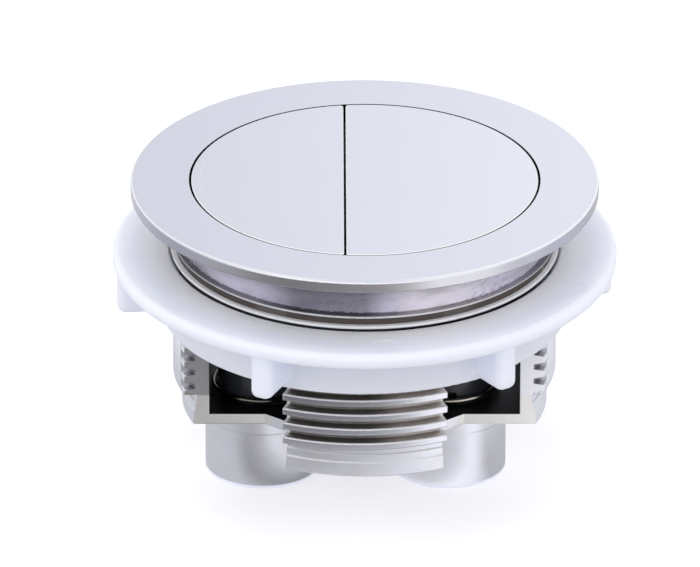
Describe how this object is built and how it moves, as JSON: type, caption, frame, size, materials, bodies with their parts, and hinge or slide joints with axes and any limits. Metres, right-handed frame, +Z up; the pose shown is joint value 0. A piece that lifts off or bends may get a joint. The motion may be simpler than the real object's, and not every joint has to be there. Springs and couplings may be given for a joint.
{
  "type": "cistern push button",
  "caption": "Round dual flush push button for a cistern lid: sprung chrome caps in a flat bezel, on a threaded basket with guide sleeves and a white locknut.",
  "frame": {"origin": "on the barrel's axis at the feet of the two guide sleeves", "axes": "+Z up along the barrel, out of the lid towards the person; +X from the half flush side to the full flush side; -Y is the side that the picture shows"},
  "size_m": [0.0764, 0.0764, 0.048],
  "materials": {
    "bezel_chrome": "bright chrome plate on a moulded ring, lightly pebbled in the neck",
    "cap_chrome": "smooth bright chrome plate",
    "basket_chrome": "satin chrome plate, unpolished as moulded",
    "black_plastic": "glossy black moulding",
    "spring_steel": "bright drawn wire",
    "white_plastic": "slightly translucent white moulding with a soft sheen"
  },
  "bodies": {
    "housing": {"bezel_ring": "bezel_chrome", "threaded_basket": "basket_chrome", "half_spring": "spring_steel", "full_spring": "spring_steel"},
    "half_button": {"half_flush_cap": "cap_chrome", "half_plunger": "black_plastic"},
    "full_button": {"full_flush_cap": "cap_chrome", "full_plunger": "black_plastic"},
    "nut": {"locknut": "white_plastic"}
  },
  "joints": [
    {"name": "half_press", "type": "slide", "parent": "housing", "child": "half_button", "axis": [0, 0, -1], "range_m": [0, 0.006], "stiffness_N_per_m": 270, "springref_m": -0.014, "deforming": ["half_spring"]},
    {"name": "full_press", "type": "slide", "parent": "housing", "child": "full_button", "axis": [0, 0, -1], "range_m": [0, 0.006], "stiffness_N_per_m": 270, "springref_m": -0.014, "deforming": ["full_spring"]},
    {"name": "nut_travel", "type": "slide", "parent": "housing", "child": "nut", "axis": [0, 0, -1], "range_m": [0, 0.0145]}
  ]
}
